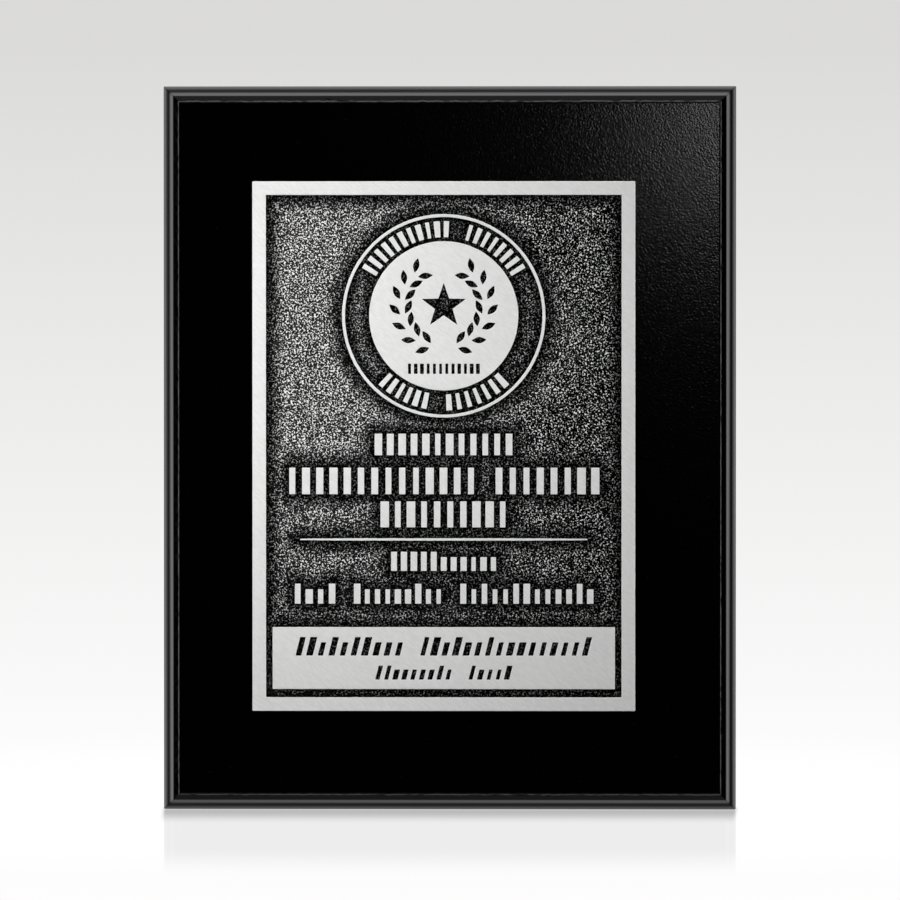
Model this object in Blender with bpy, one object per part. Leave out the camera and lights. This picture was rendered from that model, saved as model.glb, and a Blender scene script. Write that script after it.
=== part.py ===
"""A wall plaque: a moulded black board with a metal relief plate on its face."""

import math
import random

import bmesh
import bpy

# Sizes are in metres. The pieces are drawn lying on their backs, then the whole plaque is stood up.

# Board
BOARD_WIDTH = 0.2010
BOARD_HEIGHT = 0.2540
BOARD_THICKNESS = 0.0159

# Moulded edge, from the side wall inwards
LIP_WIDTH = 0.0017
LIP_RISE = 0.0019
LIP_TREAD = 0.0001
OGEE_WIDTH = 0.0023
OGEE_RISE = 0.00165
SHELF_WIDTH = 0.00105
ARRIS_WIDTH = 0.0006
ARRIS_RISE = 0.00042

# Keyhole slot in the back
KEYHOLE_DROP = 0.0220
KEYHOLE_RUN = 0.0130
KEYHOLE_DEPTH = 0.0090
KEYHOLE_LIP = 0.0030
KEYHOLE_ENTRY_WIDTH = 0.0104
KEYHOLE_HEAD_WIDTH = 0.0098
KEYHOLE_NECK_WIDTH = 0.0052

# Plate
PLATE_WIDTH = 0.1340
PLATE_THICKNESS = 0.0024
PLATE_GAP = 0.0003
PLATE_SHIFT_LEFT = 0.0020
PLATE_LIFT = 0.0007
BORDER_WIDTH = 0.00475
RELIEF_DEPTH = 0.0008

# Emblem at the top of the plate
EMBLEM_GAP = 0.0067
EMBLEM_RADIUS = 0.0356
RING_LINE = 0.00105
BAND_WIDTH = 0.00845
BAND_CLEARANCE = 0.0014
TOP_ARC_DEGREES = 122.0
BOTTOM_ARC_DEGREES = 90.0
TOP_ARC_WORDS = (7, 5)
BOTTOM_ARC_WORDS = (4, 5)
ARC_STROKE_PITCH = 0.0032

# Rows of raised strokes below the emblem, from the top down.
# gap is the space above a row, margin the space at each of its ends.
ROWS = (
    {"gap": 0.00565, "height": 0.00755, "margin": 0.0373, "pitch": 0.0042, "words": (1,), "tall": 1.0},
    {"gap": 0.00435, "height": 0.0093, "margin": 0.0068, "pitch": 0.0048, "words": (7, 4), "tall": 1.0},
    {"gap": 0.0025, "height": 0.0091, "margin": 0.0393, "pitch": 0.0046, "words": (1,), "tall": 1.0},
    {"gap": 0.0039, "height": 0.00065, "margin": 0.0120, "pitch": 0, "words": (1,), "tall": 1.0},
    {"gap": 0.0040, "height": 0.0067, "margin": 0.0431, "pitch": 0.0036, "words": (1,), "tall": 0.3},
    {"gap": 0.0045, "height": 0.0070, "margin": 0.0091, "pitch": 0.0036, "words": (3, 6, 9), "tall": 0.25},
)
WORD_SPACE = 0.0050

# Name panel at the foot of the plate, with rows of sunk strokes
PANEL_GAP = 0.0082
PANEL_SIDE_GAP = 0.0023
PANEL_FOOT_GAP = 0.0029
PANEL_FOOT_SPACE = 0.0033
PANEL_SLANT_DEGREES = 14.0
PANEL_ROWS = (
    {"gap": 0.0035, "height": 0.0065, "margin": 0.0079, "pitch": 0.0038, "words": (7, 11), "tall": 0.25},
    {"gap": 0.0035, "height": 0.0049, "margin": 0.0358, "pitch": 0.0030, "words": (7, 4), "tall": 0.25},
)

# Shapes of the strokes, as shares of a stroke's own cell and height
STROKE_FILL = (0.40, 0.66)
SHORT_STROKE = 0.72

# Motif in the disc, as shares of the disc's radius
WREATH_LIFT = 0.13
WREATH_RADIUS = 0.56
WREATH_SWEEP_DEGREES = 140.0
WREATH_START_DEGREES = 9.0
LEAF_LENGTH = 0.20
LEAF_WIDTH = 0.085
LEAF_TURN_DEGREES = 36.0
LEAF_OFFSET = 0.034
LEAF_PAIRS = 7
STAR_RADIUS = 0.31
STAR_WAIST = 0.40
MOTIF_ROW_DROP = 0.71
MOTIF_ROW_LENGTH = 1.00
MOTIF_ROW_HEIGHT = 0.137
MOTIF_ROW_PITCH = 0.084

# Facets
LIP_STEPS = 5
OGEE_STEPS = 8
ARRIS_STEPS = 4
SLOT_END_STEPS = 12
CIRCLE_STEPS = 72
LEAF_STEPS = 4
CUT_OVERRUN = 0.001
WELD_DISTANCE = 0.000001


def material(name, color, roughness, metallic):
    made = bpy.data.materials.new(name)
    made.use_nodes = True
    shader = made.node_tree.nodes["Principled BSDF"]
    shader.inputs["Base Color"].default_value = (*color, 1.0)
    shader.inputs["Roughness"].default_value = roughness
    shader.inputs["Metallic"].default_value = metallic
    made.diffuse_color = (*color, 1.0)
    return made


def collection(name):
    made = bpy.data.collections.new(name)
    bpy.context.scene.collection.children.link(made)
    return made


def finish_mesh(shape, name, into):
    """Turn a bmesh into an object of the given collection."""
    bmesh.ops.recalc_face_normals(shape, faces=shape.faces)
    mesh = bpy.data.meshes.new(name)
    shape.to_mesh(mesh)
    shape.free()
    made = bpy.data.objects.new(name, mesh)
    into.objects.link(made)
    return made


def box(name, width, height, low, high, into):
    shape = bmesh.new()
    bmesh.ops.create_cube(shape, size=1)
    bmesh.ops.scale(shape, vec=(width, height, high - low), verts=shape.verts)
    bmesh.ops.translate(shape, vec=(0, 0, (low + high) / 2), verts=shape.verts)
    return finish_mesh(shape, name, into)


def extruded(name, outlines, low, high, into):
    """A solid between two heights. An outline inside another is a hole, and one inside that is solid again."""
    curve = bpy.data.curves.new(name, "CURVE")
    curve.dimensions = "2D"
    curve.fill_mode = "BOTH"
    curve.extrude = (high - low) / 2
    for points in outlines:
        spline = curve.splines.new("POLY")
        spline.points.add(len(points) - 1)
        for point, (x, y) in zip(spline.points, points):
            point.co = (x, y, 0, 1)
        spline.use_cyclic_u = True
    drawn = bpy.data.objects.new(name, curve)
    into.objects.link(drawn)
    graph = bpy.context.evaluated_depsgraph_get()
    mesh = bpy.data.meshes.new_from_object(drawn.evaluated_get(graph))
    bpy.data.objects.remove(drawn)
    shape = bmesh.new()
    shape.from_mesh(mesh)
    bpy.data.meshes.remove(mesh)
    bmesh.ops.remove_doubles(shape, verts=shape.verts, dist=WELD_DISTANCE)
    bmesh.ops.translate(shape, vec=(0, 0, (low + high) / 2), verts=shape.verts)
    return finish_mesh(shape, name, into)


def combine(piece, other, operation):
    modifier = piece.modifiers.new(other.name, "BOOLEAN")
    modifier.operation = operation
    modifier.solver = "EXACT"
    modifier.object = other
    other.hide_render = True
    other.display_type = "WIRE"


def arc(centre, radii, start, end, steps):
    """Points on an arc about centre, from start to end in degrees, both ends included."""
    points = []
    for step in range(steps + 1):
        angle = math.radians(start + (end - start) * step / steps)
        points.append((centre[0] + radii[0] * math.cos(angle), centre[1] + radii[1] * math.sin(angle)))
    return points


def circle(centre, radius):
    return arc(centre, (radius, radius), 0, 360, CIRCLE_STEPS)[:-1]


def rectangle(centre, width, height):
    x, y = centre
    return [
        (x - width / 2, y - height / 2),
        (x + width / 2, y - height / 2),
        (x + width / 2, y + height / 2),
        (x - width / 2, y + height / 2),
    ]


def slot_outline(start_y, end_y, width):
    """A round-ended slot along Y."""
    radius = width / 2
    top = arc((0, end_y), (radius, radius), 0, 180, SLOT_END_STEPS)
    bottom = arc((0, start_y), (radius, radius), 180, 360, SLOT_END_STEPS)
    return top + bottom


def climb(start, width, rise, steps):
    """Points after start on an S-shaped slope, level at its foot and at its top."""
    points = []
    for step in range(1, steps + 1):
        share = step / steps
        points.append((start[0] + width * share, start[1] + rise * (3 - 2 * share) * share**2))
    return points


def moulding_profile():
    """The edge's section as (distance in from the side wall, height above it)."""
    points = arc((LIP_WIDTH, 0), (LIP_WIDTH, LIP_RISE), 180, 90, LIP_STEPS)[1:]
    points.append((LIP_WIDTH + LIP_TREAD, LIP_RISE))
    points += climb(points[-1], OGEE_WIDTH, OGEE_RISE, OGEE_STEPS)
    inset, rise = points[-1]
    points.append((inset + SHELF_WIDTH, rise))
    points += climb(points[-1], ARRIS_WIDTH, ARRIS_RISE, ARRIS_STEPS)
    return points


def moulded_board(into):
    """A box whose front face is inset and raised once for each point of the moulding's section."""
    profile = moulding_profile()
    wall = BOARD_THICKNESS - profile[-1][1]
    shape = bmesh.new()
    bmesh.ops.create_cube(shape, size=1)
    bmesh.ops.scale(shape, vec=(BOARD_WIDTH, BOARD_HEIGHT, wall), verts=shape.verts)
    bmesh.ops.translate(shape, vec=(0, 0, wall / 2), verts=shape.verts)
    front = max(shape.faces, key=lambda face: face.calc_center_median().z)
    inset, rise = 0, 0
    for next_inset, next_rise in profile:
        bmesh.ops.inset_region(
            shape,
            faces=[front],
            thickness=next_inset - inset,
            depth=next_rise - rise,
            use_even_offset=True,
        )
        inset, rise = next_inset, next_rise
    return finish_mesh(shape, "backing_board", into)


def cut_keyhole(board, cutters):
    """A screw's head enters at the foot of the slot, and its shank slides up the narrow neck."""
    end_y = BOARD_HEIGHT / 2 - KEYHOLE_DROP
    start_y = end_y - KEYHOLE_RUN
    entry = slot_outline(start_y, start_y, KEYHOLE_ENTRY_WIDTH)
    head = slot_outline(start_y, end_y, KEYHOLE_HEAD_WIDTH)
    neck = slot_outline(start_y, end_y, KEYHOLE_NECK_WIDTH)
    for name, outline, low in (
        ("keyhole_entry", entry, -CUT_OVERRUN),
        ("keyhole_head", head, KEYHOLE_LIP),
        ("keyhole_neck", neck, -CUT_OVERRUN),
    ):
        combine(board, extruded(name, [outline], low, KEYHOLE_DEPTH, cutters), "DIFFERENCE")


def stroke_cells(length, height, pitch, words, tall, seed):
    """Upright strokes along a row, grouped in words, each as its (left, bottom, right, top) about the middle."""
    random_source = random.Random(seed)
    free = length - WORD_SPACE * (len(words) - 1)
    cells = []
    left = -length / 2
    for word in words:
        span = free * word / sum(words)
        count = max(1, round(span / pitch))
        cell = span / count
        for index in range(count):
            width = cell * random_source.uniform(*STROKE_FILL)
            full = index == 0 or random_source.random() < tall
            top = height / 2 if full else height * (SHORT_STROKE - 0.5)
            middle = left + cell * (index + 0.5)
            cells.append((middle - width / 2, -height / 2, middle + width / 2, top))
        left += span + WORD_SPACE
    return cells


def straight_row(centre, cells, slant_degrees=0):
    lean = math.tan(math.radians(slant_degrees))
    outlines = []
    for left, bottom, right, top in cells:
        corners = ((left, bottom), (right, bottom), (right, top), (left, top))
        outlines.append([(centre[0] + x + lean * y, centre[1] + y) for x, y in corners])
    return outlines


def arched_row(centre, radius, cells, upward):
    """A row bent round centre, over its top or under its foot, with its strokes standing upright to a reader."""
    sign = 1 if upward else -1
    outlines = []
    for left, bottom, right, top in cells:
        corners = ((left, bottom), (right, bottom), (right, top), (left, top))
        outline = []
        for x, y in corners:
            turn = x / radius
            reach = radius + sign * y
            outline.append((centre[0] + reach * math.sin(turn), centre[1] + sign * reach * math.cos(turn)))
        outlines.append(outline)
    return outlines


def leaf(base, heading, length, width):
    """A pointed leaf between two equal arcs."""
    along = (math.cos(heading), math.sin(heading))
    across = (-along[1], along[0])
    outline = []
    for side in (1, -1):
        for step in range(LEAF_STEPS):
            share = step / LEAF_STEPS if side == 1 else 1 - step / LEAF_STEPS
            bulge = side * width / 2 * math.sin(math.pi * share)
            outline.append(
                (
                    base[0] + along[0] * length * share + across[0] * bulge,
                    base[1] + along[1] * length * share + across[1] * bulge,
                )
            )
    return outline


def wreath(centre, unit):
    """Two leafy branches that rise from the foot of a circle on either side."""
    outlines = []
    radius = WREATH_RADIUS * unit
    for side in (1, -1):
        for pair in range(LEAF_PAIRS):
            share = (pair + 0.5) / LEAF_PAIRS
            angle = math.radians(-90 + side * (WREATH_START_DEGREES + WREATH_SWEEP_DEGREES * share))
            growth = angle + side * math.pi / 2
            for across in (1, -1):
                reach = radius + across * LEAF_OFFSET * unit
                base = (centre[0] + reach * math.cos(angle), centre[1] + reach * math.sin(angle))
                heading = growth - side * across * math.radians(LEAF_TURN_DEGREES)
                outlines.append(leaf(base, heading, LEAF_LENGTH * unit, LEAF_WIDTH * unit))
    return outlines


def star(centre, radius):
    outline = []
    for point in range(10):
        reach = radius if point % 2 == 0 else radius * STAR_WAIST
        angle = math.radians(90 + 36 * point)
        outline.append((centre[0] + reach * math.cos(angle), centre[1] + reach * math.sin(angle)))
    return outline


def emblem(centre):
    """The raised ring, band strokes and disc, and the wreath, star and small row sunk in the disc."""
    ring_inside = EMBLEM_RADIUS - RING_LINE
    disc_radius = ring_inside - BAND_WIDTH
    stroke_radius = (ring_inside + disc_radius) / 2
    stroke_height = BAND_WIDTH - 2 * BAND_CLEARANCE
    raised = [circle(centre, EMBLEM_RADIUS), circle(centre, ring_inside), circle(centre, disc_radius)]
    for words, degrees, upward, seed in (
        (TOP_ARC_WORDS, TOP_ARC_DEGREES, True, 11),
        (BOTTOM_ARC_WORDS, BOTTOM_ARC_DEGREES, False, 12),
    ):
        length = math.radians(degrees) * stroke_radius
        cells = stroke_cells(length, stroke_height, ARC_STROKE_PITCH, words, 1.0, seed)
        raised += arched_row(centre, stroke_radius, cells, upward)
    wreath_centre = (centre[0], centre[1] + WREATH_LIFT * disc_radius)
    sunk = wreath(wreath_centre, disc_radius)
    sunk.append(star(wreath_centre, STAR_RADIUS * disc_radius))
    row_centre = (centre[0], centre[1] - MOTIF_ROW_DROP * disc_radius)
    cells = stroke_cells(
        MOTIF_ROW_LENGTH * disc_radius,
        MOTIF_ROW_HEIGHT * disc_radius,
        MOTIF_ROW_PITCH * disc_radius,
        (1,),
        1.0,
        13,
    )
    sunk += straight_row(row_centre, cells)
    return raised, sunk


def panel_height():
    return sum(row["gap"] + row["height"] for row in PANEL_ROWS) + PANEL_FOOT_SPACE


def field_height():
    """The sunk field is as tall as what stands on it, one under the other."""
    rows = sum(row["gap"] + row["height"] for row in ROWS)
    return EMBLEM_GAP + 2 * EMBLEM_RADIUS + rows + PANEL_GAP + panel_height() + PANEL_FOOT_GAP


def row_outlines(row, centre_y, width, seed, slant_degrees=0):
    length = width - 2 * row["margin"]
    if row["pitch"] == 0:
        return [rectangle((0, centre_y), length, row["height"])]
    cells = stroke_cells(length, row["height"], row["pitch"], row["words"], row["tall"], seed)
    return straight_row((0, centre_y), cells, slant_degrees)


def relief_outlines(field_width):
    """Outlines of all that stands up in the field, and of all that is sunk in it, from the top down."""
    level = field_height() / 2 - EMBLEM_GAP - EMBLEM_RADIUS
    raised, sunk = emblem((0, level))
    level -= EMBLEM_RADIUS
    for index, row in enumerate(ROWS):
        level -= row["gap"] + row["height"]
        raised += row_outlines(row, level + row["height"] / 2, field_width, 20 + index)
    level -= PANEL_GAP
    panel_width = field_width - 2 * PANEL_SIDE_GAP
    raised.append(rectangle((0, level - panel_height() / 2), panel_width, panel_height()))
    for index, row in enumerate(PANEL_ROWS):
        level -= row["gap"] + row["height"]
        centre_y = level + row["height"] / 2
        sunk += row_outlines(row, centre_y, panel_width, 40 + index, PANEL_SLANT_DEGREES)
    return raised, sunk


def relief_plate(into, cutters):
    """A slab with its field sunk, the relief joined to the field's floor, and the disc and panel cut."""
    field_width = PLATE_WIDTH - 2 * BORDER_WIDTH
    floor = PLATE_THICKNESS - RELIEF_DEPTH
    above = PLATE_THICKNESS + CUT_OVERRUN
    raised, sunk = relief_outlines(field_width)
    plate = box("relief_plate", PLATE_WIDTH, field_height() + 2 * BORDER_WIDTH, 0, PLATE_THICKNESS, into)
    field = box("field", field_width, field_height(), floor, above, cutters)
    relief = extruded("raised_relief", raised, floor / 2, PLATE_THICKNESS, cutters)
    sunk_relief = extruded("sunk_relief", sunk, floor, above, cutters)
    combine(plate, field, "DIFFERENCE")
    combine(plate, relief, "UNION")
    combine(plate, sunk_relief, "DIFFERENCE")
    return plate, field, relief, sunk_relief


def main():
    for old in list(bpy.data.objects):
        bpy.data.objects.remove(old)
    parts = collection("wall_plaque")
    cutters = collection("cutters")
    upright = bpy.data.objects.new("upright", None)
    upright.rotation_euler = (math.pi / 2, 0, 0)
    parts.objects.link(upright)

    board = moulded_board(parts)
    board.data.materials.append(material("black_lacquer", (0.006, 0.006, 0.007), 0.3, 0.0))
    cut_keyhole(board, cutters)

    plate_pieces = relief_plate(parts, cutters)
    plate = plate_pieces[0]
    plate.data.materials.append(material("pewter", (0.58, 0.58, 0.57), 0.38, 1.0))
    for piece in plate_pieces:
        piece.location = (-PLATE_SHIFT_LEFT, PLATE_LIFT, BOARD_THICKNESS + PLATE_GAP)

    for piece in (board, plate, *cutters.objects):
        piece.parent = upright


main()
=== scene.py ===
import math
import random

import bmesh
import bpy
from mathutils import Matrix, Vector, noise
from mathutils.geometry import delaunay_2d_cdt


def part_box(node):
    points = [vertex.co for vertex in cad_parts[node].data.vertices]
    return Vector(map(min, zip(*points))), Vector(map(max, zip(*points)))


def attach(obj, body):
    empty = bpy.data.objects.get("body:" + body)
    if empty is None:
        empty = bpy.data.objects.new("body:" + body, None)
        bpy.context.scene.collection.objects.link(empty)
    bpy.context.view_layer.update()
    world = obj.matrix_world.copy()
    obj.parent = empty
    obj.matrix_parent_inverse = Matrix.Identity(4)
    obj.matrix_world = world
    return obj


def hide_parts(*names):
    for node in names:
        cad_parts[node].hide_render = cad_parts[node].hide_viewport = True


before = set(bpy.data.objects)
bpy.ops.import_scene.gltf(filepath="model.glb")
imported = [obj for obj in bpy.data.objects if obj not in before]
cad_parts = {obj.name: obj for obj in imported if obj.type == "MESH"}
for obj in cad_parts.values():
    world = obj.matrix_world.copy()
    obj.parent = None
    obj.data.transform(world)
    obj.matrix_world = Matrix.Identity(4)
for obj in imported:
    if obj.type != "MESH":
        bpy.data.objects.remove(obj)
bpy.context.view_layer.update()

# metres, front towards -Y, the board's back on Y = 0
boardLow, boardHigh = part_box("backing_board")
plateLow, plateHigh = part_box("relief_plate")
plateCentre = Vector(((plateLow.x + plateHigh.x) / 2, (plateLow.z + plateHigh.z) / 2))
plateFace = plateLow.y  # the polished tops
plateBack = plateHigh.y

noiseSeed = 7
noise.seed_set(noiseSeed)  # noise_vector would start elsewhere in each run


# helpers for node trees

def put(tree, kind, inputs=None, **settings):
    made = tree.nodes.new(kind)
    for key, value in settings.items():
        setattr(made, key, value)
    for key, value in (inputs or {}).items():
        if isinstance(value, bpy.types.NodeSocket):
            tree.links.new(value, made.inputs[key])
        else:
            made.inputs[key].default_value = value
    return made


def calc(tree, operation, *values, clamp=False):
    made = put(tree, "ShaderNodeMath", dict(enumerate(values)), operation=operation, use_clamp=clamp)
    return made.outputs[0]


def vectorCalc(tree, operation, *values):
    keys = (0, "Scale") if operation == "SCALE" else (0, 1)
    return put(tree, "ShaderNodeVectorMath", dict(zip(keys, values)), operation=operation).outputs[0]


def remap(tree, value, low, high, newLow=0.0, newHigh=1.0, smooth=True):
    made = put(
        tree,
        "ShaderNodeMapRange",
        {"Value": value, "From Min": low, "From Max": high, "To Min": newLow, "To Max": newHigh},
        interpolation_type="SMOOTHSTEP" if smooth else "LINEAR",
    )
    return made.outputs["Result"]


def blendColour(tree, share, first, second):
    made = put(tree, "ShaderNodeMix", data_type="RGBA")
    for name, value in (("Factor_Float", share), ("A_Color", first), ("B_Color", second)):
        socket = next(one for one in made.inputs if one.identifier == name)
        if isinstance(value, bpy.types.NodeSocket):
            tree.links.new(value, socket)
        else:
            socket.default_value = value
    return next(one for one in made.outputs if one.identifier == "Result_Color")


def noiseAt(tree, place, scale, detail=2.0, roughness=0.5, distortion=0.0):
    inputs = {
        "Vector": place,
        "Scale": scale,
        "Detail": detail,
        "Roughness": roughness,
        "Distortion": distortion,
    }
    return put(tree, "ShaderNodeTexNoise", inputs).outputs[0]


def turned(tree, place, angle):  # a pattern's place, turned in the plane of the plaque's face
    made = put(
        tree,
        "ShaderNodeVectorRotate",
        {"Vector": place, "Axis": (0.0, 1.0, 0.0), "Angle": angle},
        rotation_type="AXIS_ANGLE",
    )
    return made.outputs[0]


def newGroup(name, kind, takes, gives):  # a socket's type, or for a number the value it starts with
    tree = bpy.data.node_groups.new(name, kind)
    for way, sockets in (("INPUT", takes), ("OUTPUT", gives)):
        for label, value in sockets.items():
            isNumber = isinstance(value, float)
            socketType = "NodeSocket" + ("Float" if isNumber else value)
            made = tree.interface.new_socket(name=label, in_out=way, socket_type=socketType)
            if isNumber:
                made.default_value = value
    return tree, tree.nodes.new("NodeGroupInput"), tree.nodes.new("NodeGroupOutput")


def useGroup(tree, group, inputs):
    return put(tree, "ShaderNodeGroup", inputs, node_tree=group).outputs


# effects that several finishes share

grainLook = {"patchScale": 260.0, "bend": 0.6}
scratchLook = {
    "lineDraw": 0.07,  # width of a line, as a share of its length
    "grainScale": 2900.0,
    "grainShare": 0.45,
    "streakDraw": 0.16,
    "streakScale": 2300.0,
    "cloudScale": 170.0,
    "cloudShare": 0.1,
}
oxideLook = {"patchScale": 1500.0, "sway": 0.00012}


def flatPlace(tree, place):  # drops the height, so that a pattern runs straight through the relief
    return vectorCalc(tree, "MULTIPLY", place, (1.0, 0.0, 1.0))


def grainPattern(tree, place, grainSize):  # the ground's grain, the same in its shape and in its colour
    bigger = noiseAt(tree, place, grainLook["patchScale"], detail=1.0)
    scale = calc(tree, "DIVIDE", 1.0, grainSize)
    fine = noiseAt(tree, place, scale, detail=1.0, distortion=grainLook["bend"])
    return fine, bigger


def scratchGroup(look):
    tree, takes, gives = newGroup(
        "fineScratches",
        "ShaderNodeTree",
        {"Place": "Vector", "Angle": 35.0, "Fineness": 2600.0},
        {"Height": "Float", "Mottle": "Float"},
    )
    place = takes.outputs["Place"]
    leaning = turned(tree, place, calc(tree, "RADIANS", takes.outputs["Angle"]))
    longest = vectorCalc(tree, "MULTIPLY", leaning, (look["lineDraw"], 1.0, 1.0))
    lines = noiseAt(tree, longest, takes.outputs["Fineness"], detail=2.0, roughness=0.6)
    grains = noiseAt(tree, place, look["grainScale"], detail=1.0)
    grains = calc(tree, "MULTIPLY", grains, look["grainShare"])
    tree.links.new(calc(tree, "ADD", lines, grains), gives.inputs["Height"])
    longer = vectorCalc(tree, "MULTIPLY", leaning, (look["streakDraw"], 1.0, 1.0))
    streaks = noiseAt(tree, longer, look["streakScale"], detail=2.0, roughness=0.6)
    streaks = calc(tree, "MULTIPLY", streaks, 1 - look["cloudShare"])
    cloud = noiseAt(tree, place, look["cloudScale"], detail=3.0, roughness=0.65)
    cloud = calc(tree, "MULTIPLY", cloud, look["cloudShare"])
    tree.links.new(calc(tree, "ADD", streaks, cloud), gives.inputs["Mottle"])
    return tree


def oxideGroup(look):  # black below a depth, measured inwards from the face
    tree, takes, gives = newGroup(
        "blackOxide",
        "ShaderNodeTree",
        {"Place": "Vector", "Face": 0.0, "Starts": 0.0001, "Full": 0.0003},
        {"Mask": "Float"},
    )
    height = put(tree, "ShaderNodeSeparateXYZ", {0: takes.outputs["Place"]}).outputs["Y"]
    depth = calc(tree, "SUBTRACT", height, takes.outputs["Face"])
    patchy = noiseAt(tree, takes.outputs["Place"], look["patchScale"], detail=2.0)
    sway = calc(tree, "MULTIPLY", calc(tree, "SUBTRACT", patchy, 0.5), look["sway"])
    mask = remap(tree, calc(tree, "ADD", depth, sway), takes.outputs["Starts"], takes.outputs["Full"])
    tree.links.new(mask, gives.inputs["Mask"])
    return tree


def dustGroup():
    tree, takes, gives = newGroup(
        "dustSpecks",
        "ShaderNodeTree",
        {"Place": "Vector", "Spacing": 0.002, "Reach": 0.1},
        {"Mask": "Float"},
    )
    scale = calc(tree, "DIVIDE", 1.0, takes.outputs["Spacing"])
    cells = put(tree, "ShaderNodeTexVoronoi", {"Vector": takes.outputs["Place"], "Scale": scale})
    near = remap(tree, cells.outputs["Distance"], takes.outputs["Reach"], 0.0)
    drawn = put(tree, "ShaderNodeSeparateColor", {0: cells.outputs["Color"]}).outputs[0]
    rare = remap(tree, drawn, 0.6, 1.0)  # most cells hold no speck
    tree.links.new(calc(tree, "MULTIPLY", near, rare), gives.inputs["Mask"])
    return tree


scratches = scratchGroup(scratchLook)
oxide = oxideGroup(oxideLook)
dust = dustGroup()


def newMaterial(name):
    made = bpy.data.materials.new(name)
    made.use_nodes = True
    tree = made.node_tree
    shader = tree.nodes["Principled BSDF"]
    place = tree.nodes.new("ShaderNodeTexCoord").outputs["Object"]
    return made, tree, shader, place


# black lacquer of the board

lacquerLook = {
    "colour": (0.0001, 0.0001, 0.0001, 1.0),
    "dustColour": (0.05, 0.047, 0.045, 1.0),
    "dustSpacing": 0.0024,
    "dustReach": 0.09,  # size of a speck, as a share of the spacing
    "dustShare": 0.5,
    "gloss": (0.10, 0.12),  # roughness, from the hollows of the grain to its tops
    "specular": 0.25,
    "peelSize": 0.00064,
    "peelDepth": 0.000026,
    "peelAngle": -62,
    "peelDraw": 0.9,
}


def lacquerMaterial(look):
    made, tree, shader, place = newMaterial("blackLacquer")
    leaning = turned(tree, place, math.radians(look["peelAngle"]))
    longer = vectorCalc(tree, "MULTIPLY", leaning, (look["peelDraw"], 1.0, 1.0))
    peel = noiseAt(tree, longer, 1 / look["peelSize"], detail=1.0, roughness=0.4)
    bump = put(tree, "ShaderNodeBump", {"Strength": 1.0, "Distance": look["peelDepth"], "Height": peel})
    tree.links.new(bump.outputs[0], shader.inputs["Normal"])
    tree.links.new(remap(tree, peel, 0.35, 0.65, *look["gloss"]), shader.inputs["Roughness"])
    settings = {"Place": place, "Spacing": look["dustSpacing"], "Reach": look["dustReach"]}
    share = calc(tree, "MULTIPLY", useGroup(tree, dust, settings)["Mask"], look["dustShare"])
    colour = blendColour(tree, share, look["colour"], look["dustColour"])
    tree.links.new(colour, shader.inputs["Base Color"])
    shader.inputs["Specular IOR Level"].default_value = look["specular"]
    return made


# polished metal: the border, ring, disc, strokes and name panel

metalLook = {
    "bright": (0.700, 0.700, 0.695, 1.0),
    "dull": (0.644, 0.644, 0.639, 1.0),
    "oxide": (0.0004, 0.0004, 0.0004, 1.0),
    "roughness": (0.49, 0.51),
    "oxideRoughness": 0.25,  # added where the metal is black
    "oxideDepth": (0.00016, 0.00036),  # below the polished face, where the black starts and is full
    "specular": 0.02,  # of the black alone
    "scratchAngle": -38.0,
    "scratchScale": 2300.0,
    "scratchDepth": 0.000022,
}


def metalMaterial(look):
    made, tree, shader, place = newMaterial("satinPewter")
    starts, full = look["oxideDepth"]
    settings = {"Place": place, "Angle": look["scratchAngle"], "Fineness": look["scratchScale"]}
    finish = useGroup(tree, scratches, settings)
    settings = {"Place": place, "Face": plateFace, "Starts": starts, "Full": full}
    black = useGroup(tree, oxide, settings)["Mask"]
    settings = {"Strength": 1.0, "Distance": look["scratchDepth"], "Height": finish["Height"]}
    bump = put(tree, "ShaderNodeBump", settings)
    tree.links.new(bump.outputs[0], shader.inputs["Normal"])
    tone = remap(tree, finish["Mottle"], 0.35, 0.65)
    metal = blendColour(tree, tone, look["dull"], look["bright"])
    tree.links.new(blendColour(tree, black, metal, look["oxide"]), shader.inputs["Base Color"])
    satin = remap(tree, finish["Mottle"], 0.3, 0.7, *reversed(look["roughness"]))
    duller = calc(tree, "MULTIPLY", black, look["oxideRoughness"])
    tree.links.new(calc(tree, "ADD", satin, duller), shader.inputs["Roughness"])
    tree.links.new(calc(tree, "SUBTRACT", 1.0, black), shader.inputs["Metallic"])
    shader.inputs["Specular IOR Level"].default_value = look["specular"]
    return made


# etched ground: black oxide left in the pits, bright metal on the grains

groundSizes = {
    "depth": 0.0008,  # below the polished tops
    "gridStep": 0.0003,
    "tuck": 0.0003,  # how far it runs in under the border
    "backGap": 0.00005,
    "smoothUnder": 60,
    "grainSize": 0.00058,
    "grainHeight": 0.00013,
    "grainMiddle": 0.65,  # of the pattern, which stands at the ground's own level
    "patchRise": 0.3,  # share of the wider unevenness in the shape
    "patchiness": 0.12,  # and in the colour
    "shadeWidth": 0.0070,  # how far the black reaches out from a wall
    "shadeShare": 0.14,  # how bright the grains still are beside a wall
    "grainRange": (0.550, 0.648),
    "grainRoughness": (0.6, 0.45),  # of the pits and of the grains
    "lift": (-0.017, 0.030),  # painted light on the grains, from the darkest to the most brightly lit ground
    "paintedLightAcross": (0.058, -0.040),  # painted light, which grows from the right to the left
    "paintedLightDown": (-0.075, 0.030),  # and from below to the emblem's middle
    "paintedLightLeast": 0.40,
    "driftScale": 38.0,
    "drift": 0.12,
    "bumpStrength": 0.6,
    "bumpDepth": 0.00005,
    "bright": (0.72, 0.72, 0.715, 1.0),
    "oxide": (0.0002, 0.0002, 0.0002, 1.0),
    # the pits' black where the painted light is brightest
    "paintedLitOxide": (0.012, 0.012, 0.012, 1.0),
}


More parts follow.
